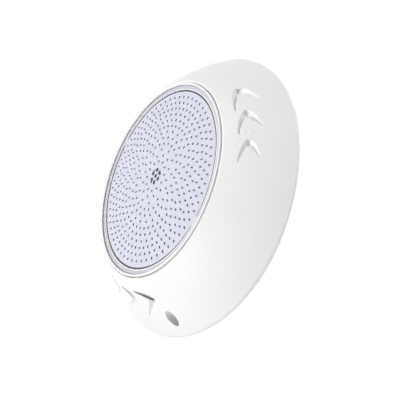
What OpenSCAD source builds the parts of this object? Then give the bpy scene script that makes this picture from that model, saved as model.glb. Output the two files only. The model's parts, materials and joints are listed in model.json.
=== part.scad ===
// Surface-mounted underwater pool light that twists on to a wall bracket.
// Every piece is drawn as seen from the front: x to the right, y up, z out of the wall, z = 0 on the wall.
// facing_pool() then turns that view into the part's own frame, with the front along -Y and +Z up.
// Angles run counter-clockwise as seen from the front, from the right-hand side.

/* [Cover] */
// Outside diameter of the cover
cover_d = 260; // [258:1:266]
// Distance from the wall to the cover's front lip
cover_depth = 47; // [46.5:0.5:49]
// Height of the middle of the rim's bead above the wall
rim_height = 5; // [4.5:0.1:5.5]
// Section radius of the cover's dome
dome_r = 173; // [160:1:200]
// Wall thickness of the cover
cover_wall = 3; // [2.5:0.1:3.5]
// Diameter of the round opening for the lens
opening_d = 177.4; // [176.8:0.1:178]

/* [Arrows] */
// Number of arrow groups round the cover
arrow_groups = 3; // [1:1:3]
// Arrows in each group
arrows_per_group = 3; // [1:1:3]
// Angle of the first arrow's tip
arrow_angle = 27.2; // [25:0.1:29]
// Angle from one arrow to the next
arrow_step = 15; // [14.5:0.1:15.5]
// Radius at which the arrow tips lie
arrow_r = 104.6; // [103:0.1:106]
// Length of the first arrow, from tip to tail
arrow_length = 25; // [20:0.5:26]
// Half the spread of the first arrow's tail
arrow_half_spread = 8.7; // [7.5:0.1:9]
// Distance from the arrow's tip to the tip of the tongue inside it
arrow_tongue_setback = 8; // [6:0.1:9]
// Shrinkage from one arrow to the next
arrow_shrink = 0.13; // [0:0.01:0.15]
// Angle at which the inner leg of an arrow dips towards the tongue
inner_leg_dip = 33; // [28:1:38]
// Angle at which the outer leg of an arrow dips towards the tongue
outer_leg_dip = 37; // [30:1:40]
// Diameter of the dimple in front of each arrow
dimple_d = 2.6; // [2:0.1:3.4]

/* [Lens and board] */
// Diameter of the clear face of the lens
lens_d = 172.2; // [171.8:0.1:172.6]
// Thickness of the lens
lens_thickness = 1.6; // [1.4:0.1:1.8]
// Diameter of the LED board
board_d = 160.4; // [159.8:0.1:160.5]
// Width of the board's two tabs
board_tab_w = 7.4; // [5:0.1:10]
// Angle of the board's tabs and of its LED pattern
board_angle = -47; // [-90:1:90]
// Number of LED rings
led_rings = 12; // [3:3:12]
// Radius of the innermost LED ring
led_first_r = 13.65; // [13:0.05:14]
// Spacing of the LED rings
led_pitch = 5.57; // [5:0.01:5.6]

/* [Twist lock] */
// Angle that the lamp turns through to come off its bracket
twist_angle = 26; // [24:1:28]
// Radius of the bracket's hub
hub_r = 60; // [58:0.5:61]
// Radius of the lock screw's axis
lock_r = 118.4; // [117.8:0.1:118.8]
// Diameter of the hole over the lock screw's head
lock_hole_d = 10.2; // [9.8:0.1:11]

/* [Wall bracket] */
// Diameter of the circle of wall holes
wall_hole_circle_d = 160; // [156:1:164]
// Diameter of each wall hole
wall_hole_d = 5.5; // [4.5:0.1:6.5]
// Thickness of the bracket's base
bracket_base = 3; // [2.8:0.1:3.2]
// Diameter of the cable opening in the bracket
bracket_opening_d = 108; // [100:1:110]

/* [Cable gland] */
// Diameter of the cable that the gland's seal takes
cable_d = 8; // [6:0.1:8.5]
// Size of the gland's hexagons across flats
gland_flats = 22; // [21:0.5:24]

/* [Hidden] */
$fn = 96;

// Small overlap that makes a cut pass through a face
cut = 1;
// Gap between faces that move past each other
clearance = 0.3;
// Gap between pieces that are pushed together
fit_gap = 0.1;
// Gap between pieces that fit closely, such as threads
slip = 0.05;

// Cover section: a dome arc that runs into a bead at the rim and into a lip at the opening
cover_r = cover_d / 2;
opening_r = opening_d / 2;
rim_round = 3;
lip_round = 1.25;
collar_back = 34;
lip_overshoot = 1;
rim_centre = [cover_r - rim_round, rim_height];

// The dome touches the bead and passes through the lip point: its centre lies dome_r - rim_round from one
// and dome_r from the other
lip_point = [opening_r, cover_depth + lip_overshoot];
chord = lip_point - rim_centre;
along = (pow(dome_r - rim_round, 2) - pow(dome_r, 2) + pow(norm(chord), 2)) / (2 * norm(chord));
across = sqrt(pow(dome_r - rim_round, 2) - pow(along, 2));
dome_centre = rim_centre + (along * chord + across * [-chord[1], chord[0]]) / norm(chord);

// Height of the dome's outer face at radius r
function dome_height(r) = dome_centre[1] + sqrt(pow(dome_r, 2) - pow(r - dome_centre[0], 2));
// Centre of a round of radius q, inside the dome, that also touches the cylinder of radius r - q
function round_centre(r, q) = [r, dome_centre[1] + sqrt(pow(dome_r - q, 2) - pow(r - dome_centre[0], 2))];
// Point where a round with its centre at c leaves the dome
function round_touch(c) = dome_centre + (c - dome_centre) * dome_r / norm(c - dome_centre);

lip_centre = round_centre(opening_r + lip_round, lip_round);

// Thicker wall behind each group of arrows
arrow_pad_depth = 7;
arrow_pad_radii = [93, 118];
arrow_pad_lead_angle = 3;
arrow_pad_trail_angle = 15;

// Cover bosses and the housing's ears, in pairs between the arrow groups
ear_r = 95.5;
ear_angles = [for (group = [0:2]) for (place = [45, 93]) group * 120 + place];
ear_d = 10;
ear_thickness = 3;
boss_d = 8;
cover_screw_d = 3.5;
cover_screw_head_d = 7;
cover_screw_reach = 5;

// Stack of the lens and the board, counted down from the front
lens_proud = 0.3;
lens_front = cover_depth + lens_proud;
lens_back = lens_front - lens_thickness;
lens_step = 0.8;
lens_r = lens_d / 2;
lens_foot = 0.8;
lens_foot_r = lens_r + lens_foot;
gasket_thickness = 1.4;
seat_height = lens_back - gasket_thickness;
board_thickness = 1.6;
board_gap = 0.7;
board_front = lens_back - board_gap;
board_back = board_front - board_thickness;
board_hole_d = 3.6;

// Housing
barrel_r = 87;
lip_inner_r = 81.7;
lip_outer_r = 82.9;
ledge_r = 76;
groove_inner_r = 80.35;
groove_depth = 3;
groove_floor = board_back - groove_depth;
groove_wall = 1.1;
barrel_back = groove_floor - groove_wall;
housing_back = 15.5;
housing_wall = 3;
housing_back_r = 71;
housing_neck = [79.5, barrel_back - 2.6];
housing_floor = housing_back + housing_wall;
skirt_outer_r = 70;
skirt_wall = 3;

// Solder joints
joint_count = 6;
joint_circle_r = 5.7;
joint_d = 4.4;
lead_d = 1;

// Driver
driver_d = 96;
driver_back = 26;
driver_thickness = 1.6;
driver_front = driver_back + driver_thickness;
post_circle_r = 40;
post_angles = [30, 150, 270];
post_d = 8;
driver_screw_d = 2.9;
driver_screw_reach = 5;

// Bracket
bracket_r = 92;
bracket_edge = 3;
bracket_edge_height = 8;
hub_height = 13;
lug_r = hub_r + 6;
lug_back = 9.5;
lug_angles = [90, 210, 330];
lug_half_angle = 14;
lug_inset = 0.5;
tab_half_angle = 11;
tab_back = 6;
stop_gap_angle = 0.6;
stop_angle = 1.8;
rib_count = 18;
rib_thickness = 2.5;
rib_inner_r = 73;
wall_hole_angles = [30, 150, 270];
wall_boss_d = 13;
edge_inset = 0.5;

// Foot at the bottom that stays under the lock screw's tip wherever the lamp is turned to
foot_r = 122;
foot_margin_angle = 8;
foot_from = -90 - foot_margin_angle;
foot_to = -90 + twist_angle + foot_margin_angle;

// Lock screw
lock_angle = -90;
lock_seat = 7.8;
lock_boss_d = 18;
lock_boss_back = 3.8;
lock_screw_d = 5;
lock_head_d = 8.8;
lock_head_height = 1.8;
lock_washer_thickness = 0.6;
lock_insert_d = 8;
lock_tip_gap = 0.4;

// Gland
gland_thread_d = 16;
gland_rear_thread_d = 15;
gland_flange = [10, 14];
gland_rear_end = 4.8;
gland_front_end = 24;
gland_cap_ends = [0.6, 9.6];
gland_cap_lip = 2.2;
gland_seal_r = 5.2;
cable_exit_d = cable_d + 1.6;
gland_seal_ends = [3, 10];
hex_radius = gland_flats / sqrt(3);

white = "#f4f4f2";
clear = [0.9, 0.93, 0.97, 0.3];
steel = "#b9bcc0";
brass = "#c9a24a";
black = "#1c1c1e";

// Turns the front view into the part's frame
module facing_pool() {
    rotate([90, 0, 0]) children();
}

// Puts the children at radius r and angle a, with their x axis pointing outwards
module at_polar(r, a) {
    rotate([0, 0, a]) translate([r, 0, 0]) children();
}

// Cylinder between two heights
module rod(d, low, high) {
    translate([0, 0, low]) cylinder(d = d, h = high - low);
}

// Ring between two radii and two heights
module ring(inner_r, outer_r, low, high) {
    rotate_extrude() translate([inner_r, low]) square([outer_r - inner_r, high - low]);
}

// Part of a ring, between two angles
module ring_arc(inner_r, outer_r, low, high, from, to) {
    rotate([0, 0, from]) rotate_extrude(angle = to - from)
        translate([inner_r, low]) square([outer_r - inner_r, high - low]);
}

// Hexagonal prism between two heights
module hexagon(low, high) {
    translate([0, 0, low]) cylinder(r = hex_radius, h = high - low, $fn = 6);
}

// Section of the dome, filled down to the given inside offset
module dome_band(depth) {
    rim_touch = round_touch(rim_centre);
    lip_touch = round_touch(lip_centre);
    intersection() {
        difference() {
            translate(dome_centre) circle(r = dome_r, $fn = 360);
            translate(dome_centre) circle(r = dome_r - depth, $fn = 360);
        }
        translate([lip_touch[0], rim_touch[1]]) square([cover_r, cover_depth]);
    }
}

module cover_section() {
    dome_band(cover_wall);
    translate(rim_centre) circle(r = rim_round);
    translate(lip_centre) circle(r = lip_round);
    translate([opening_r, collar_back]) square([2 * lip_round, lip_centre[1] - collar_back]);
}

// Corners of an arrow with its tip at the origin, pointing along y, with x away from the lens
// side is 1 for the outer leg and -1 for the inner leg, which is longer
function arrow_shoulder(side) = side > 0 ? [3.2, -1.5] : [0, 0];
function arrow_tail(side) = [side * arrow_half_spread, side > 0 ? -0.8 * arrow_length : -arrow_length];
function arrow_tail_end(side) = arrow_tail(side) + (side > 0 ? [-0.8, -0.6] : [0.7, -0.35]);
// How far the outer edge of each leg bows out
function arrow_bow(side) = side > 0 ? 2.4 : 2;
// How far outside the leg its ramp starts, at the shoulder and at the tail
function ramp_lead(side) = side > 0 ? [1.2, 0.1] : [1.6, 0];

// Points from a to just before b on a line that bows to the left
function bowed(a, b, bow) = [for (i = [0:3]) let (t = i / 4)
    a + t * (b - a) + 4 * bow * t * (1 - t) * [a[1] - b[1], b[0] - a[0]] / norm(b - a)];

// Outline of an arrow of full size: its two legs round the tongue
module arrow_outline() {
    tongue_tip = [0, -arrow_tongue_setback];
    tongue_bow = -0.7;
    polygon(concat(
        [arrow_shoulder(-1)],
        bowed(arrow_shoulder(1), arrow_tail(1), arrow_bow(1)),
        [arrow_tail(1)],
        bowed(arrow_tail_end(1), tongue_tip, tongue_bow),
        bowed(tongue_tip, arrow_tail_end(-1), tongue_bow),
        [arrow_tail_end(-1)],
        bowed(arrow_tail(-1), arrow_shoulder(-1), arrow_bow(-1))
    ));
}

// Point on the dome below a place in an arrow's own plane, and the dome's normal there
function on_dome(place) = [place[0], place[1], dome_height(norm([arrow_r + place[0], place[1]]))];
function dome_normal(place) = let (r = norm([arrow_r + place[0], place[1]]), out = (r - dome_centre[0]) / r)
    [(arrow_r + place[0]) * out, place[1] * out, dome_height(r) - dome_centre[1]] / dome_r;

// Everything in front of a plane that dips from a leg's outer edge towards the tongue
module above_ramp(size, side) {
    sink = 0.3;
    reach = 60;
    leg = arrow_shoulder(side) - arrow_tail(side);
    leg_side = side * [leg[1], -leg[0]] / norm(leg);
    shoulder = (arrow_shoulder(side) + ramp_lead(side)[0] * leg_side) * size;
    tail = (arrow_tail(side) + ramp_lead(side)[1] * leg_side) * size;
    edge = (on_dome(shoulder) - on_dome(tail)) / norm(on_dome(shoulder) - on_dome(tail));
    across_edge = side * cross(dome_normal((shoulder + tail) / 2), edge);
    inward = across_edge / norm(across_edge);
    outward = side * cross(edge, inward);
    slope = side > 0 ? outer_leg_dip : inner_leg_dip;
    dip = cos(slope) * inward - sin(slope) * outward;
    lift = cos(slope) * outward + sin(slope) * inward;
    start = on_dome(shoulder) - sink * outward;
    x_axis = side * edge;
    multmatrix([
        [x_axis[0], dip[0], lift[0], start[0]],
        [x_axis[1], dip[1], lift[1], start[1]],
        [x_axis[2], dip[2], lift[2], start[2]]
    ]) translate([-reach, -reach, 0]) cube(2 * reach);
}

// Cutter for one arrow: each leg dips from its outer edge to the upright side of the tongue
module arrow_cut(size) {
    intersection() {
        linear_extrude(height = cover_depth) scale(size) arrow_outline();
        above_ramp(size, 1);
        above_ramp(size, -1);
    }
}

module arrow_cuts() {
    dimple_lead_angle = 3.1;
    dimple_depth = 0.45;
    dimple_r = (pow(dimple_d / 2, 2) + pow(dimple_depth, 2)) / (2 * dimple_depth);
    dimple_centre = on_dome([0, 0]) + (dimple_r - dimple_depth) * dome_normal([0, 0]);
    for (group = [0:arrow_groups - 1]) for (i = [0:arrows_per_group - 1]) {
        tip_angle = arrow_angle + group * 360 / arrow_groups - i * arrow_step;
        at_polar(arrow_r, tip_angle) arrow_cut(1 - i * arrow_shrink);
        at_polar(arrow_r, tip_angle + dimple_lead_angle) translate(dimple_centre) sphere(r = dimple_r, $fn = 32);
    }
}

// Solid cylinder inside the cover, from a height up to the middle of the dome's wall
module inside_post(r, a, d, low) {
    intersection() {
        at_polar(r, a) rod(d, low, cover_depth);
        rotate_extrude() difference() {
            translate(dome_centre) circle(r = dome_r - cover_wall / 2, $fn = 360);
            translate([-2 * dome_r, -2 * dome_r]) square([2 * dome_r, 4 * dome_r]);
        }
    }
}

// Section of the thicker wall, from the middle of the dome's wall inwards
module arrow_pad_section() {
    intersection() {
        difference() {
            translate(dome_centre) circle(r = dome_r - cover_wall / 2, $fn = 360);
            translate(dome_centre) circle(r = dome_r - arrow_pad_depth, $fn = 360);
        }
        translate([arrow_pad_radii[0], 0]) square([arrow_pad_radii[1] - arrow_pad_radii[0], cover_depth]);
    }
}

module arrow_pads() {
    first = arrow_angle + arrow_pad_lead_angle;
    last = arrow_angle - (arrows_per_group - 1) * arrow_step - arrow_pad_trail_angle;
    for (group = [0:arrow_groups - 1]) rotate([0, 0, last + group * 360 / arrow_groups])
        rotate_extrude(angle = first - last) arrow_pad_section();
}

module front_cover() {
    color(white) facing_pool() difference() {
        union() {
            rotate_extrude($fn = 180) cover_section();
            arrow_pads();
            for (a = ear_angles) inside_post(ear_r, a, boss_d, collar_back);
            inside_post(lock_r, lock_angle, lock_boss_d, lock_boss_back);
        }
        arrow_cuts();
        for (a = ear_angles) at_polar(ear_r, a)
            rod(cover_screw_d, collar_back - cut, collar_back + cover_screw_reach);
        at_polar(lock_r, lock_angle) rod(lock_hole_d, lock_seat, cover_depth);
        at_polar(lock_r, lock_angle) rod(lock_insert_d, lock_boss_back - cut, lock_seat + cut);
    }
}

// Pan-head screw driven from behind, with its head below the given height
module screw_from_behind(d, head_d, head_top, reach) {
    head_height = 2.2;
    slot_depth = 1.2;
    difference() {
        union() {
            rod(head_d, head_top - head_height, head_top);
            rod(d, head_top, head_top + reach);
        }
        translate([0, 0, head_top - head_height]) for (turn = [0, 90]) rotate([0, 0, turn])
            cube([head_d * 0.55, d * 0.3, 2 * slot_depth], center = true);
    }
}

module cover_screws() {
    color(steel) facing_pool() for (a = ear_angles) at_polar(ear_r, a)
        screw_from_behind(cover_screw_d, cover_screw_head_d, collar_back - ear_thickness,
            ear_thickness + cover_screw_reach);
}

module housing_section() {
    bore_r = gland_thread_d / 2 + fit_gap;
    polygon([
        [bore_r, housing_back],
        [housing_back_r, housing_back],
        housing_neck,
        [barrel_r, barrel_back],
        [barrel_r, seat_height],
        [lip_outer_r, seat_height],
        [lip_outer_r, lens_back - 2 * fit_gap],
        [lip_inner_r, lens_back - 2 * fit_gap],
        [lip_inner_r, groove_floor],
        [groove_inner_r, groove_floor],
        [groove_inner_r, board_back],
        [ledge_r, board_back],
        [ledge_r, housing_neck[1] + 2],
        [housing_back_r - housing_wall, housing_floor],
        [bore_r, housing_floor]
    ]);
}

module housing_ear(a) {
    root_r = housing_neck[0] - 3.5;
    arm_w = ear_d - 1;
    difference() {
        union() {
            at_polar(ear_r, a) rod(ear_d, collar_back - ear_thickness, collar_back);
            rotate([0, 0, a]) translate([root_r, -arm_w / 2, collar_back - ear_thickness])
                cube([ear_r - root_r, arm_w, ear_thickness]);
        }
        at_polar(ear_r, a) rod(cover_screw_d, 0, cover_depth);
    }
}

module lamp_housing() {
    color(white) facing_pool() difference() {
        union() {
            rotate_extrude() housing_section();
            ring(skirt_outer_r - skirt_wall, skirt_outer_r, bracket_base + clearance, housing_back + cut);
            for (a = lug_angles) ring_arc(hub_r + clearance, skirt_outer_r - skirt_wall / 2,
                tab_back, lug_back - clearance, a - tab_half_angle, a + tab_half_angle);
            for (a = ear_angles) housing_ear(a);
            for (a = post_angles) at_polar(post_circle_r, a) rod(post_d, housing_floor - cut, driver_back);
        }
        for (a = post_angles) at_polar(post_circle_r, a)
            rod(driver_screw_d, driver_back - driver_screw_reach, driver_back + cut);
    }
}

module lens() {
    color(clear) facing_pool() rotate_extrude() polygon([
        [0, lens_back],
        [lens_foot_r, lens_back],
        [lens_foot_r, lens_front - lens_step],
        [lens_r, lens_front - lens_step],
        [lens_r, lens_front],
        [0, lens_front]
    ]);
}

// Ring that clips over the housing's barrel and holds the lens down by its step
module lens_ring() {
    ring_front = lens_front + 0.1;
    ring_back = seat_height - 2;
    ring_wall = 0.9;
    ring_outer_r = barrel_r + ring_wall;
    edge = 0.3;
    color(white) facing_pool() rotate_extrude() polygon([
        [barrel_r + slip, ring_back],
        [ring_outer_r, ring_back],
        [ring_outer_r, ring_front - edge],
        [ring_outer_r - edge, ring_front],
        [lens_r + slip + edge, ring_front],
        [lens_r + slip, ring_front - edge],
        [lens_r + slip, lens_front - lens_step + slip],
        [barrel_r + slip, lens_front - lens_step + slip]
    ]);
}

module lens_gasket() {
    color("#b4b3c2") facing_pool() ring(lip_outer_r + fit_gap, barrel_r - clearance, seat_height, lens_back - slip);
}

// Ring in the groove round the board, notched where the board's tabs cross it
module board_seal() {
    color(black) facing_pool() difference() {
        ring(groove_inner_r + slip, lip_inner_r - slip, groove_floor, board_front);
        rotate([0, 0, board_angle]) translate([-cover_r, -board_tab_w / 2 - slip, board_back - slip])
            cube([cover_d, board_tab_w + 2 * slip, board_thickness + cut]);
    }
}

module led_board() {
    tab_reach = lip_inner_r - fit_gap;
    color("#dcdce8") facing_pool() difference() {
        union() {
            rod(board_d, board_back, board_front);
            intersection() {
                rod(2 * tab_reach, board_back, board_front);
                rotate([0, 0, board_angle]) translate([-cover_r, -board_tab_w / 2, board_back])
                    cube([cover_d, board_tab_w, board_thickness]);
            }
        }
        rod(board_hole_d, 0, cover_depth);
        for (i = [0:joint_count - 1]) at_polar(joint_circle_r, board_angle + i * 360 / joint_count)
            rod(lead_d + fit_gap, 0, cover_depth);
    }
}

// LED rings come in threes with the same count, and the middle ring of each three is staggered
function led_count(k) = [12, 27, 45, 63][floor(k / 3)];
function led_shift(k) = (k % 3 == 1 ? 0.5 : 0) - (k < 3 ? 0 : 0.25);

module leds() {
    led_size = [1.9, 1.2, 0.5];
    color("#8c8a70") facing_pool() rotate([0, 0, board_angle]) for (k = [0:led_rings - 1])
        for (i = [0:led_count(k) - 1])
            at_polar(led_first_r + k * led_pitch, (i + led_shift(k)) * 360 / led_count(k))
                translate([-led_size[0] / 2, -led_size[1] / 2, board_front]) cube(led_size);
}

module solder_joints() {
    joint_height = 0.5;
    dome_radius = (pow(joint_d / 2, 2) + pow(joint_height, 2)) / (2 * joint_height);
    color("#9a9a98") facing_pool() for (i = [0:joint_count - 1])
        at_polar(joint_circle_r, board_angle + i * 360 / joint_count) intersection() {
            translate([0, 0, board_front + joint_height - dome_radius]) sphere(r = dome_radius);
            rod(joint_d + 1, board_front, board_front + joint_height + cut);
        }
}

module led_leads() {
    color(steel) facing_pool() for (i = [0:joint_count - 1])
        at_polar(joint_circle_r, board_angle + i * 360 / joint_count) rod(lead_d, driver_front, board_front);
}

module driver_board() {
    color("#2f6b45") facing_pool() difference() {
        rod(driver_d, driver_back, driver_front);
        for (a = post_angles) at_polar(post_circle_r, a) rod(driver_screw_d + clearance, 0, cover_depth);
    }
}

module driver_screws() {
    head_d = 5.5;
    head_height = 2;
    color(steel) facing_pool() for (a = post_angles) at_polar(post_circle_r, a) {
        rod(head_d, driver_front, driver_front + head_height);
        rod(driver_screw_d, driver_back - driver_screw_reach, driver_front + 0.1);
    }
}

// Places a component on the driver board
module on_driver(x, y) {
    translate([x, y, driver_front]) children();
}

module driver_capacitors() {
    capacitor_d = 10;
    capacitor_height = 11;
    collar_height = 1.2;
    color("#27303a") facing_pool() for (y = [-6.5, 6.5]) on_driver(24, y) difference() {
        cylinder(d = capacitor_d, h = capacitor_height);
        translate([0, 0, collar_height]) difference() {
            cylinder(d = capacitor_d + cut, h = 1);
            cylinder(d = capacitor_d - 1, h = 1);
        }
    }
}

module driver_inductor() {
    core_height = 8;
    flange = 1.5;
    core_d = 9;
    flange_d = 14;
    color("#7a4b2a") facing_pool() on_driver(-24, 0) rotate_extrude() polygon([
        [0, 0],
        [flange_d / 2, 0],
        [flange_d / 2, flange],
        [core_d / 2, flange],
        [core_d / 2, core_height - flange],
        [flange_d / 2, core_height - flange],
        [flange_d / 2, core_height],
        [0, core_height]
    ]);
}

module driver_rectifier() {
    body = [10, 8, 4];
    color(black) facing_pool() on_driver(-body[0] / 2, 20) cube(body);
}

module driver_chip() {
    body = [5, 4, 1.6];
    lead = [0.5, 1.2, 0.3];
    lead_step = 1.27;
    color(black) facing_pool() on_driver(-body[0] / 2, -24) {
        cube(body);
        for (i = [0:3]) for (y = [-lead[1] + 0.1, body[1] - 0.1])
            translate([0.34 + i * lead_step, y, 0]) cube(lead);
    }
}

module gland_body() {
    color(steel) facing_pool() difference() {
        union() {
            rod(gland_rear_thread_d, gland_rear_end, gland_flange[0] + cut);
            hexagon(gland_flange[0], gland_flange[1]);
            rod(gland_thread_d, gland_flange[1] - cut, gland_front_end);
        }
        rod(cable_exit_d, 0, cover_depth);
        rod(2 * gland_seal_r, 0, gland_seal_ends[1]);
    }
}

module gland_washer() {
    color(black) facing_pool() ring(gland_thread_d / 2 + fit_gap, hex_radius * 0.85, gland_flange[1], housing_back);
}

module gland_locknut() {
    nut_height = 4;
    color(steel) facing_pool() difference() {
        hexagon(housing_floor, housing_floor + nut_height);
        rod(gland_thread_d + 2 * slip, 0, cover_depth);
    }
}

module gland_seal() {
    color(black) facing_pool()
        ring(cable_d / 2, gland_seal_r - slip, gland_seal_ends[0], gland_seal_ends[1]);
}

// Domed nut: a hexagon with its rear end rounded off round the cable's exit
module gland_cap() {
    dome_d = 26;
    color(steel) facing_pool() difference() {
        intersection() {
            hexagon(gland_cap_ends[0], gland_cap_ends[1]);
            translate([0, 0, gland_cap_ends[0] + dome_d / 2 - 1]) sphere(d = dome_d);
        }
        rod(cable_exit_d, 0, cover_depth);
        rod(gland_rear_thread_d + 2 * slip, gland_cap_ends[0] + gland_cap_lip, cover_depth);
    }
}

// Base ring with the bayonet hub on the inside
module bracket_section() {
    polygon([
        [bracket_opening_d / 2, 0],
        [bracket_r, 0],
        [bracket_r, bracket_base],
        [hub_r, bracket_base],
        [hub_r, hub_height],
        [bracket_opening_d / 2, hub_height]
    ]);
}

// The raised edge and the ribs leave out the stretch at the lock screw's foot
module wall_bracket() {
    color("#e8e8e6") facing_pool() difference() {
        union() {
            rotate_extrude() bracket_section();
            for (a = lug_angles) bayonet_lug(a);
            ring_arc(bracket_r - bracket_edge, bracket_r - edge_inset, cut, bracket_edge_height,
                foot_to + foot_margin_angle, foot_from - foot_margin_angle + 360);
            for (i = [0:rib_count - 1]) {
                a = i * 360 / rib_count;
                if (a > foot_to + foot_margin_angle && a < foot_from - foot_margin_angle + 360) bracket_rib(a);
            }
            for (a = wall_hole_angles) at_polar(wall_hole_circle_d / 2, a) rod(wall_boss_d, cut, bracket_base + 1.2);
            ring_arc(bracket_r - bracket_edge, foot_r, 0, bracket_base, foot_from, foot_to);
        }
        for (a = wall_hole_angles) at_polar(wall_hole_circle_d / 2, a) rod(wall_hole_d, -cut, cover_depth);
    }
}

// Lug on the hub, with a stop at each end of the tab's travel
module bayonet_lug(a) {
    locked_stop = a - tab_half_angle - stop_gap_angle;
    open_stop = a + tab_half_angle + twist_angle + stop_gap_angle;
    stop_r = lug_r - lug_inset;
    ring_arc(hub_r - cut, lug_r, lug_back, hub_height - lug_inset, a - lug_half_angle, a + lug_half_angle);
    ring_arc(hub_r - cut, stop_r, bracket_base - cut, lug_back + cut, locked_stop - stop_angle, locked_stop);
    ring_arc(hub_r - cut, stop_r, bracket_base - cut, lug_back, open_stop, open_stop + stop_angle);
}

module bracket_rib(a) {
    rib_top = bracket_edge_height - 1;
    rotate([0, 0, a]) translate([rib_inner_r, -rib_thickness / 2, cut])
        cube([bracket_r - bracket_edge / 2 - rib_inner_r, rib_thickness, rib_top - cut]);
}

module lock_insert() {
    color(brass) facing_pool() at_polar(lock_r, lock_angle)
        ring(lock_screw_d / 2 + slip, lock_insert_d / 2, lock_boss_back, lock_seat);
}

module lock_washer() {
    color(steel) facing_pool() at_polar(lock_r, lock_angle)
        ring(lock_screw_d / 2 + slip, lock_head_d / 2 - 0.4, lock_seat + clearance,
            lock_seat + clearance + lock_washer_thickness);
}

// Screw with a socket head, whose flat tip stands just off the bracket's foot
module lock_screw() {
    head_back = lock_seat + clearance + lock_washer_thickness;
    socket_radius = 2.3;
    socket_depth = 1.4;
    color(steel) facing_pool() at_polar(lock_r, lock_angle) difference() {
        union() {
            rod(lock_screw_d, bracket_base + lock_tip_gap, head_back + cut);
            rod(lock_head_d, head_back, head_back + lock_head_height);
        }
        translate([0, 0, head_back + lock_head_height - socket_depth])
            cylinder(r = socket_radius, h = lock_head_height, $fn = 6);
    }
}

wall_bracket();
front_cover();
cover_screws();
lamp_housing();
lens();
lens_ring();
lens_gasket();
led_board();
leds();
solder_joints();
led_leads();
board_seal();
driver_board();
driver_screws();
driver_capacitors();
driver_inductor();
driver_rectifier();
driver_chip();
gland_body();
gland_washer();
gland_locknut();
gland_seal();
gland_cap();
lock_insert();
lock_screw();
lock_washer();
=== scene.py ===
import json
import math

import bpy
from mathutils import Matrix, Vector


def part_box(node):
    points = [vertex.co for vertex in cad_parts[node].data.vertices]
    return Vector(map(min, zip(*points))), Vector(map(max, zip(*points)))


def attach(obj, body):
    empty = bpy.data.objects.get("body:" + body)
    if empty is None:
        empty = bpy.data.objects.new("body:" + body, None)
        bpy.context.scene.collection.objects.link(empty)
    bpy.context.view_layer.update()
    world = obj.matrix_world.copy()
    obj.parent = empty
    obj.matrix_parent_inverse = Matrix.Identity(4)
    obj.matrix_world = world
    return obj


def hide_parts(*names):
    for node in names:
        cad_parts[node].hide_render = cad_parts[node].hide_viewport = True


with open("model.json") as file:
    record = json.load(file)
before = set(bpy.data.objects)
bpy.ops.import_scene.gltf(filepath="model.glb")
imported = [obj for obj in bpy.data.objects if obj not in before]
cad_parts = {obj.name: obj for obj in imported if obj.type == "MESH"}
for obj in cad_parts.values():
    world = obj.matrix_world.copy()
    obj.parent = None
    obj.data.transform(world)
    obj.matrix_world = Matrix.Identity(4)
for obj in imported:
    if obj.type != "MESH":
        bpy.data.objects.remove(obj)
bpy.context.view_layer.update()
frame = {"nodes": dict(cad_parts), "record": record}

MM = 0.001
WHITE = (1, 1, 1, 1)

# Board pattern: rings of LEDs in threes with the same count, the middle ring of each three staggered
PATTERN_ANGLE = math.radians(-47)
LED_FIRST_RADIUS = 13.65 * MM
LED_RING_STEP = 5.57 * MM
LED_COUNTS = (12, 27, 45, 63)
RINGS_PER_COUNT = 3
STAGGERED_RING = 1
STAGGER = 0.5
OUTER_GROUPS_SHIFT = -0.25

# LED package: a chamfered body with a sunk window and a soldered terminal at each end
LED_LENGTH = 1.9 * MM
LED_WIDTH = 1.2 * MM
LED_HEIGHT = 0.5 * MM
LED_CHAMFER = 0.1 * MM
LED_RIM = 0.2 * MM
LED_WINDOW_DEPTH = 0.1 * MM
TERMINAL_REACH = 0.3 * MM
TERMINAL_WIDTH = 0.84 * MM
TERMINAL_HEIGHT = 0.15 * MM
LED_BODY, LED_WINDOW, LED_TERMINAL = range(3)

# Solder joints: low domes with an uneven edge, three of them with a lump that ran out to one side
JOINT_COUNT = 6
JOINT_CIRCLE_RADIUS = 5.7 * MM
JOINT_RADIUS = 2.2 * MM
JOINT_HEIGHT = 0.5 * MM
JOINT_WAVER = 0.15 * MM
JOINT_LEVELS = 6
JOINT_SIDES = 32
LUMP_REACH = 1.8 * MM
LUMP_SHARPNESS = 14
LUMP_DIRECTIONS = {1: math.radians(-57), 3: math.radians(59), 4: math.radians(253)}

# Surface of the board: white solder mask whose lavender tint is a painted reflection, raised copper tracks
# between the rings of LEDs, and painted shade in the hole in the middle, whose wall is painted black
# The lavender tint of the mask and track colours is a painted reflection.
MASK_AND_REFLECTION_COLOUR = (0.622, 0.634, 0.734)
TRACK_AND_REFLECTION_COLOUR = (0.597, 0.609, 0.712)
TRACK_START = 0.40 * LED_RING_STEP
TRACK_END = 0.44 * LED_RING_STEP
TRACK_HEIGHT = 0.01 * MM
BOARD_GLOSS_SIZE = 4 * MM
HOLE_RADIUS = 1.8 * MM
HOLE_EDGE_RADIUS = 1.04 * HOLE_RADIUS
# Painted shade: near-black colour on the wall of the hole, standing for the shade inside it.
HOLE_PAINTED_SHADE_COLOUR = (0.002, 0.002, 0.002)

# Surface of the driver's green board
CIRCUIT_CELLS_PER_METRE = 180
CIRCUIT_TRACK_HEIGHT = 0.03 * MM
CIRCUIT_GLOSS_SIZE = 3 * MM

# Fine marks on metal, even or along the axis of turned parts
MARK_SIZE = 0.2 * MM
MARK_DEPTH = 0.01 * MM
METAL_SHADE_SIZE = 2 * MM
EVEN_MARKS = (1, 1, 1)
TURNED_MARKS = (1, 8, 1)

# Moulded surfaces: the gloss changes more slowly than the grain
GLOSS_PER_GRAIN = 6
BEVEL_SAMPLES = 6

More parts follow.
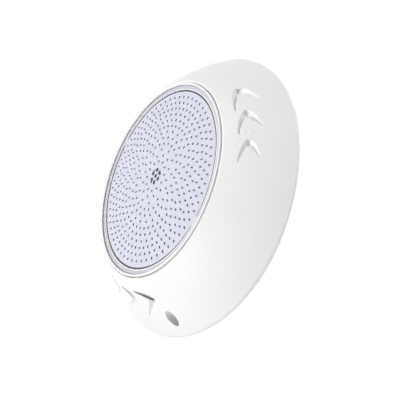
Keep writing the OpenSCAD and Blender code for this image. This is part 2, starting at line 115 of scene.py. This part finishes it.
# Lens: nearly clear when seen from the front, with more painted sheen towards grazing angles: its whitish
# colour, shown by the alpha, is a painted reflection of the white surroundings
LENS_ALPHA_FACING = 0.004
LENS_ALPHA_GRAZING = 0.14
LENS_SHEEN_BLEND = 0.1
LENS_REFLECTION_AND_GLOSS_DRIFT_SIZE = 20 * MM
LENS_RIPPLE_SIZE = 8 * MM
LENS_RIPPLE_HEIGHT = 0.004 * MM

# Camera, fitted to the outline, the lens edge, the arrow tips and the lock hole in the photo
CAMERA_PLACE = (0.3304, -0.2665, -0.1992)
CAMERA_AZIMUTH = math.radians(48.66)
CAMERA_ELEVATION = math.radians(-29.19)
CAMERA_LENS_MM = 45.12
CAMERA_SENSOR_MM = 36
CAMERA_SHIFT = (-0.0363, -0.1124)
CAMERA_CLIP_START = 0.01

# Studio
FLOOR_HEIGHT = -1.0
FLOOR_SIZE = 16.0
FLOOR_GLOW = 0.55
WORLD_STRENGTH = 0.13
BACKGROUND_STRENGTH = 1.0


# Materials, kept by name

materials = {}


class Nodes:
    """Short way to make a material, add nodes to it and link their sockets."""

    def __init__(self, name):
        materials[name] = bpy.data.materials.new(name)
        materials[name].use_nodes = True
        self.tree = materials[name].node_tree
        self.shader = self.tree.nodes["Principled BSDF"]
        self.place = self.add("ShaderNodeTexCoord").outputs["Object"]

    def add(self, kind, **values):
        node = self.tree.nodes.new(kind)
        for key, value in values.items():
            setattr(node, key, value)
        return node

    def link(self, source, target):
        self.tree.links.new(source, target)

    def drive(self, socket, source):
        """Links a source to a socket of the shader."""
        self.link(source, self.shader.inputs[socket])

    def set(self, **values):
        """Sets sockets of the shader to constants."""
        for key, value in values.items():
            self.shader.inputs[key.replace("_", " ")].default_value = value

    def noise(self, size, detail=3.0, stretch=EVEN_MARKS):
        """Noise whose features are about the given size in metres; stretch lengthens them along an axis."""
        mapping = self.add("ShaderNodeMapping")
        mapping.inputs["Scale"].default_value = [1 / (size * s) for s in stretch]
        self.link(self.place, mapping.inputs["Vector"])
        noise = self.add("ShaderNodeTexNoise")
        noise.inputs["Scale"].default_value = 1.0
        noise.inputs["Detail"].default_value = detail
        self.link(mapping.outputs["Vector"], noise.inputs["Vector"])
        return noise.outputs["Fac"]

    def calculate(self, operation, source, value):
        """Applies an operation with a fixed second value to a source."""
        node = self.add("ShaderNodeMath", operation=operation)
        node.inputs[1].default_value = value
        self.link(source, node.inputs[0])
        return node.outputs["Value"]

    def spread(self, source, low, high, start=0.1, end=0.9):
        """Maps a source to the range from low to high."""
        spread = self.add("ShaderNodeMapRange")
        spread.inputs["From Min"].default_value = start
        spread.inputs["From Max"].default_value = end
        spread.inputs["To Min"].default_value = low
        spread.inputs["To Max"].default_value = high
        self.link(source, spread.inputs["Value"])
        return spread.outputs["Result"]

    def shades(self, source, dark, light, start=0.1, end=0.9):
        """Blends from one colour to another along a source."""
        ramp = self.add("ShaderNodeValToRGB")
        ramp.color_ramp.elements[0].position = start
        ramp.color_ramp.elements[0].color = (*dark, 1)
        ramp.color_ramp.elements[1].position = end
        ramp.color_ramp.elements[1].color = (*light, 1)
        self.link(source, ramp.inputs["Fac"])
        return ramp.outputs["Color"]

    def blend(self, source, start, end):
        """Blends from a plain colour to another colour output along a source."""
        mix = self.add("ShaderNodeMixRGB")
        mix.inputs["Color1"].default_value = (*start, 1)
        self.link(source, mix.inputs["Fac"])
        self.link(end, mix.inputs["Color2"])
        return mix.outputs["Color"]

    def bump(self, source, height, edge=0.0):
        """Bumps the surface by a source; edge rounds sharp edges to that radius."""
        bump = self.add("ShaderNodeBump")
        bump.inputs["Strength"].default_value = 1.0
        bump.inputs["Distance"].default_value = height
        self.link(source, bump.inputs["Height"])
        if edge:
            bevel = self.add("ShaderNodeBevel", samples=BEVEL_SAMPLES)
            bevel.inputs["Radius"].default_value = edge
            self.link(bevel.outputs["Normal"], bump.inputs["Normal"])
        self.drive("Normal", bump.outputs["Normal"])


def moulded(name, dark, light, rough, grain, height, edge=0.0, tint_size=30 * MM, **constants):
    """Moulded plastic or rubber: slow drift of shade, fine grain in the gloss and in the surface."""
    n = Nodes(name)
    n.drive("Base Color", n.shades(n.noise(tint_size, detail=0.0), dark, light))
    n.drive("Roughness", n.spread(n.noise(grain * GLOSS_PER_GRAIN, detail=0.0), *rough))
    n.bump(n.noise(grain, detail=2.0), height, edge)
    n.set(**constants)


def metal(name, dark, light, rough, marks, edge):
    """Turned, pressed or cast metal: fine marks in the surface and small changes of shade."""
    n = Nodes(name)
    fine = n.noise(MARK_SIZE, detail=2.0, stretch=marks)
    n.drive("Base Color", n.shades(n.noise(METAL_SHADE_SIZE), dark, light))
    n.drive("Roughness", n.spread(fine, *rough))
    n.bump(fine, MARK_DEPTH, edge)
    n.set(Metallic=1.0)


def clear_lens():
    """Clear lens, see-through by its alpha, whose whitish colour is a painted reflection of the white
    surroundings, with a slow drift in tint and gloss.
    """
    n = Nodes("lens_clear")
    reflection_and_gloss_drift = n.noise(LENS_REFLECTION_AND_GLOSS_DRIFT_SIZE, detail=2.0)
    n.drive("Base Color", n.shades(reflection_and_gloss_drift, (0.86, 0.88, 0.93), (0.93, 0.94, 0.98)))
    n.drive("Roughness", n.spread(reflection_and_gloss_drift, 0.05, 0.10))
    sheen = n.add("ShaderNodeLayerWeight")
    sheen.inputs["Blend"].default_value = LENS_SHEEN_BLEND
    # Painted reflection: the alpha shows more of the whitish colour towards grazing angles.
    alpha = n.spread(sheen.outputs["Facing"], LENS_ALPHA_FACING, LENS_ALPHA_GRAZING, 0.0, 1.0)
    n.drive("Alpha", alpha)
    n.bump(n.noise(LENS_RIPPLE_SIZE), LENS_RIPPLE_HEIGHT)
    n.set(IOR=1.58)


def board_white():
    """White solder mask with a lavender tint that is a painted reflection, over copper tracks that show as
    faint raised bands; the wall of the hole in the middle is painted black as painted shade.
    """
    n = Nodes("board_white")
    flat = n.add("ShaderNodeVectorMath", operation="MULTIPLY")
    flat.inputs[1].default_value = (1, 0, 1)
    n.link(n.place, flat.inputs[0])
    length = n.add("ShaderNodeVectorMath", operation="LENGTH")
    n.link(flat.outputs["Vector"], length.inputs[0])
    radius = length.outputs["Value"]
    past_first_ring = n.calculate("SUBTRACT", radius, LED_FIRST_RADIUS)
    from_ring = n.calculate("PINGPONG", past_first_ring, LED_RING_STEP / 2)
    track = n.spread(from_ring, 0.0, 1.0, TRACK_START, TRACK_END)
    # The lavender of the mask and track colours is a painted reflection.
    mask = n.shades(track, MASK_AND_REFLECTION_COLOUR, TRACK_AND_REFLECTION_COLOUR, 0.0, 1.0)
    # Painted shade: the wall of the hole in the middle is painted near-black.
    outside_painted_hole_shade = n.spread(radius, 0.0, 1.0, HOLE_RADIUS, HOLE_EDGE_RADIUS)
    n.drive("Base Color", n.blend(outside_painted_hole_shade, HOLE_PAINTED_SHADE_COLOUR, mask))
    n.drive("Roughness", n.spread(n.noise(BOARD_GLOSS_SIZE), 0.32, 0.42))
    n.bump(track, TRACK_HEIGHT)


def circuit_green():
    """Green circuit board with faint copper tracks under the mask."""
    n = Nodes("board_green")
    cells = n.add("ShaderNodeTexVoronoi", distance="MANHATTAN")
    cells.inputs["Scale"].default_value = CIRCUIT_CELLS_PER_METRE
    n.link(n.place, cells.inputs["Vector"])
    tracks = cells.outputs["Distance"]
    n.drive("Base Color", n.shades(tracks, (0.02, 0.11, 0.05), (0.06, 0.24, 0.11)))
    n.drive("Roughness", n.spread(n.noise(CIRCUIT_GLOSS_SIZE), 0.3, 0.45))
    n.bump(tracks, CIRCUIT_TRACK_HEIGHT)


moulded("cover_plastic", (0.857, 0.858, 0.86), (0.866, 0.866, 0.866), rough=(0.28, 0.31), grain=8 * MM,
        height=0.003 * MM, tint_size=150 * MM, IOR=1.49, Coat_Weight=0.15, Coat_Roughness=0.12)
moulded("bracket_plastic", (0.76, 0.76, 0.74), (0.82, 0.82, 0.8), rough=(0.42, 0.55), grain=0.8 * MM,
        height=0.03 * MM, edge=0.5 * MM)
moulded("housing_plastic", (0.79, 0.79, 0.79), (0.84, 0.84, 0.84), rough=(0.34, 0.46), grain=0.8 * MM,
        height=0.02 * MM, edge=0.5 * MM)
moulded("gasket_grey", (0.52, 0.51, 0.58), (0.57, 0.56, 0.63), rough=(0.5, 0.65), grain=0.5 * MM,
        height=0.005 * MM, edge=0.2 * MM)
moulded("rubber_black", (0.018, 0.018, 0.02), (0.035, 0.035, 0.037), rough=(0.55, 0.7), grain=0.5 * MM,
        height=0.03 * MM, edge=0.3 * MM)
moulded("component_dark", (0.035, 0.036, 0.04), (0.06, 0.06, 0.065), rough=(0.4, 0.55), grain=0.4 * MM,
        height=0.02 * MM, edge=0.2 * MM)
moulded("ferrite", (0.16, 0.08, 0.045), (0.24, 0.12, 0.07), rough=(0.4, 0.6), grain=0.5 * MM,
        height=0.04 * MM, edge=0.2 * MM)
moulded("led_chip", (0.05, 0.048, 0.035), (0.08, 0.076, 0.058), rough=(0.4, 0.5), grain=0.3 * MM,
        height=0.01 * MM, edge=0.1 * MM)
moulded("led_window", (0.03, 0.027, 0.015), (0.05, 0.045, 0.026), rough=(0.2, 0.26), grain=0.3 * MM,
        height=0.01 * MM)
metal("solder", (0.05, 0.05, 0.05), (0.09, 0.09, 0.09), rough=(0.4, 0.55), marks=EVEN_MARKS,
      edge=0.1 * MM)
metal("stainless", (0.64, 0.64, 0.65), (0.72, 0.72, 0.72), rough=(0.28, 0.42), marks=TURNED_MARKS,
      edge=0.2 * MM)
metal("nickel", (0.62, 0.6, 0.56), (0.72, 0.7, 0.66), rough=(0.16, 0.26), marks=TURNED_MARKS,
      edge=0.3 * MM)
metal("brass", (0.62, 0.44, 0.17), (0.74, 0.55, 0.24), rough=(0.28, 0.42), marks=TURNED_MARKS,
      edge=0.2 * MM)
clear_lens()
board_white()
circuit_green()

for part in frame["record"]["subparts"]:
    mesh = frame["nodes"][part["node"]].data
    mesh.materials.clear()
    mesh.materials.append(materials[part["material_slot"]])


# Pieces of the scene's own

def add_mesh(name, points, faces, *mesh_materials):
    """New object from points and faces."""
    mesh = bpy.data.meshes.new(name)
    mesh.from_pydata(points, [], faces)
    for material in mesh_materials:
        mesh.materials.append(material)
    added = bpy.data.objects.new(name, mesh)
    bpy.context.collection.objects.link(added)
    return added


def rectangle(half_length, half_width, height, middle=0.0):
    """Corners of a level rectangle, in turn."""
    corners = ((-1, -1), (1, -1), (1, 1), (-1, 1))
    return [(middle + sx * half_length, sy * half_width, height) for sx, sy in corners]


def stacked(rings, cap_material, side_material, first):
    """Faces that join rectangles one above the other, closed below the first and capped on the last."""
    faces = [((first + 3, first + 2, first + 1, first), side_material)]
    for level in range(len(rings) - 1):
        low = first + 4 * level
        for corner in range(4):
            after = (corner + 1) % 4
            faces.append(((low + corner, low + after, low + 4 + after, low + 4 + corner), side_material))
    last = first + 4 * (len(rings) - 1)
    faces.append(((last, last + 1, last + 2, last + 3), cap_material))
    return faces


def led_template():
    """Points of one LED package, and its faces with their materials."""
    half_length = LED_LENGTH / 2
    half_width = LED_WIDTH / 2
    inner = LED_CHAMFER + LED_RIM
    body = [
        rectangle(half_length, half_width, 0),
        rectangle(half_length, half_width, LED_HEIGHT - LED_CHAMFER),
        rectangle(half_length - LED_CHAMFER, half_width - LED_CHAMFER, LED_HEIGHT),
        rectangle(half_length - inner, half_width - inner, LED_HEIGHT),
        rectangle(half_length - inner, half_width - inner, LED_HEIGHT - LED_WINDOW_DEPTH),
    ]
    points = [p for ring in body for p in ring]
    faces = stacked(body, LED_WINDOW, LED_BODY, 0)
    for side in (-1, 1):
        terminal = [
            rectangle(TERMINAL_REACH / 2, TERMINAL_WIDTH / 2, height, side * half_length)
            for height in (0, TERMINAL_HEIGHT)
        ]
        faces += stacked(terminal, LED_TERMINAL, LED_TERMINAL, len(points))
        points += [p for ring in terminal for p in ring]
    return points, faces


def led_places():
    """Radius and angle of every LED, seen from the front."""
    for ring in range(len(LED_COUNTS) * RINGS_PER_COUNT):
        group, place = divmod(ring, RINGS_PER_COUNT)
        shift = STAGGER if place == STAGGERED_RING else 0.0
        if group > 0:
            shift += OUTER_GROUPS_SHIFT
        radius = LED_FIRST_RADIUS + ring * LED_RING_STEP
        for i in range(LED_COUNTS[group]):
            yield radius, PATTERN_ANGLE + (i + shift) * math.tau / LED_COUNTS[group]


def build_leds():
    template, template_faces = led_template()
    board_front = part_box("led_board")[0].y
    points, faces, slots = [], [], []
    for radius, angle in led_places():
        out = Vector((math.cos(angle), 0, math.sin(angle)))
        along = Vector((-math.sin(angle), 0, math.cos(angle)))
        first = len(points)
        for x, y, z in template:
            points.append(out * (radius + x) + along * y + Vector((0, board_front - z, 0)))
        for corners, slot in template_faces:
            faces.append([first + c for c in corners])
            slots.append(slot)
    led_materials = [materials[name] for name in ("led_chip", "led_window", "solder")]
    leds = add_mesh("led_packages", points, faces, *led_materials)
    leds.data.polygons.foreach_set("material_index", slots)
    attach(leds, "lamp")
    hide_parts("leds")


def joint_edge(joint, angle):
    """Radius of a solder joint's edge in one direction."""
    radius = JOINT_RADIUS + JOINT_WAVER * (math.sin(2 * angle + joint) - 1)
    if joint in LUMP_DIRECTIONS:
        towards = max(0.0, math.cos(angle - LUMP_DIRECTIONS[joint]))
        radius += LUMP_REACH * towards ** LUMP_SHARPNESS
    return radius


def joint_faces(first):
    """Faces of one dome: the underside first, then bands up to the point on top."""
    faces = [[first + side for side in reversed(range(JOINT_SIDES))]]
    top = first + JOINT_LEVELS * JOINT_SIDES
    for level in range(JOINT_LEVELS):
        low = first + level * JOINT_SIDES
        high = low + JOINT_SIDES
        for side in range(JOINT_SIDES):
            after = (side + 1) % JOINT_SIDES
            if level == JOINT_LEVELS - 1:
                faces.append([low + side, low + after, top])
            else:
                faces.append([low + side, low + after, high + after, high + side])
    return faces


def build_joints():
    board_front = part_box("led_board")[0].y
    points, faces = [], []
    for joint in range(JOINT_COUNT):
        place = PATTERN_ANGLE + joint * math.tau / JOINT_COUNT
        middle = Vector((math.cos(place), 0, math.sin(place))) * JOINT_CIRCLE_RADIUS
        faces += joint_faces(len(points))
        for level in range(JOINT_LEVELS):
            reach = 1 - level / JOINT_LEVELS
            front = board_front - JOINT_HEIGHT * (1 - reach ** 2)
            for side in range(JOINT_SIDES):
                angle = side * math.tau / JOINT_SIDES
                radius = reach * joint_edge(joint, angle)
                points.append(middle + Vector((radius * math.cos(angle), front, radius * math.sin(angle))))
        points.append(middle + Vector((0, board_front - JOINT_HEIGHT, 0)))
    joints = add_mesh("solder_domes", points, faces, materials["solder"])
    joints.data.polygons.foreach_set("use_smooth", [len(face) < JOINT_SIDES for face in faces])
    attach(joints, "lamp")
    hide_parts("solder_joints")


# Studio: white surroundings, a pale floor far below, and large soft lamps all round

def seen_rays(tree):
    """1 for rays that show the surroundings, 0 for rays that only carry light."""
    path = tree.nodes.new("ShaderNodeLightPath")
    shown = path.outputs["Is Camera Ray"]
    for ray in ("Is Glossy Ray", "Is Transmission Ray"):
        either = tree.nodes.new("ShaderNodeMath")
        either.operation = "MAXIMUM"
        tree.links.new(shown, either.inputs[0])
        tree.links.new(path.outputs[ray], either.inputs[1])
        shown = either.outputs["Value"]
    return shown


def build_world():
    world = bpy.data.worlds.new("studio")
    bpy.context.scene.world = world
    world.use_nodes = True
    tree = world.node_tree
    light = tree.nodes["Background"]
    seen = tree.nodes.new("ShaderNodeBackground")
    for background, strength in ((light, WORLD_STRENGTH), (seen, BACKGROUND_STRENGTH)):
        background.inputs["Color"].default_value = WHITE
        background.inputs["Strength"].default_value = strength
    mix = tree.nodes.new("ShaderNodeMixShader")
    tree.links.new(seen_rays(tree), mix.inputs["Fac"])
    tree.links.new(light.outputs["Background"], mix.inputs[1])
    tree.links.new(seen.outputs["Background"], mix.inputs[2])
    tree.links.new(mix.outputs["Shader"], tree.nodes["World Output"].inputs["Surface"])


def build_floor():
    moulded("floor", (0.86, 0.86, 0.86), (0.89, 0.89, 0.89), rough=(0.7, 0.8), grain=10 * MM,
            height=0.1 * MM, tint_size=400 * MM)
    tree = materials["floor"].node_tree
    glow = tree.nodes.new("ShaderNodeMath")
    glow.operation = "MULTIPLY"
    glow.inputs[1].default_value = FLOOR_GLOW
    shader = tree.nodes["Principled BSDF"]
    shader.inputs["Emission Color"].default_value = WHITE
    tree.links.new(seen_rays(tree), glow.inputs[0])
    tree.links.new(glow.outputs["Value"], shader.inputs["Emission Strength"])
    corners = rectangle(FLOOR_SIZE / 2, FLOOR_SIZE / 2, 0)
    floor = add_mesh("floor", corners, [(0, 1, 2, 3)], materials["floor"])
    floor.location.z = FLOOR_HEIGHT


def add_lamp(name, place, size, power, mirrored=True):
    """Round lamp that points at the origin; one that isn't mirrored leaves no highlight."""
    data = bpy.data.lights.new(name, "AREA")
    data.shape = "DISK"
    data.size = size
    data.energy = power
    lamp = bpy.data.objects.new(name, data)
    lamp.visible_glossy = mirrored
    lamp.location = place
    lamp.rotation_euler = (-Vector(place)).to_track_quat("-Z", "Y").to_euler()
    bpy.context.collection.objects.link(lamp)


def build_camera():
    data = bpy.data.cameras.new("camera")
    data.sensor_width = CAMERA_SENSOR_MM
    data.lens = CAMERA_LENS_MM
    data.shift_x, data.shift_y = CAMERA_SHIFT
    data.clip_start = CAMERA_CLIP_START
    camera = bpy.data.objects.new("camera", data)
    camera.location = CAMERA_PLACE
    camera.rotation_euler = (math.pi / 2 - CAMERA_ELEVATION, 0, CAMERA_AZIMUTH)
    bpy.context.collection.objects.link(camera)
    bpy.context.scene.camera = camera


build_leds()
build_joints()
build_world()
build_floor()
add_lamp("low front lamp", place=(-0.4, -1.4, -0.6), size=1.0, power=17.5, mirrored=False)
add_lamp("high front lamp", place=(0.1, -1.3, 0.9), size=1.0, power=10.0)
add_lamp("right rim lamp", place=(1.3, 0.6, 0.7), size=1.8, power=20.5, mirrored=False)
add_lamp("back lamp", place=(0.5, 1.5, 0.2), size=1.2, power=13.0)
build_camera()
bpy.context.scene.view_settings.view_transform = "Standard"
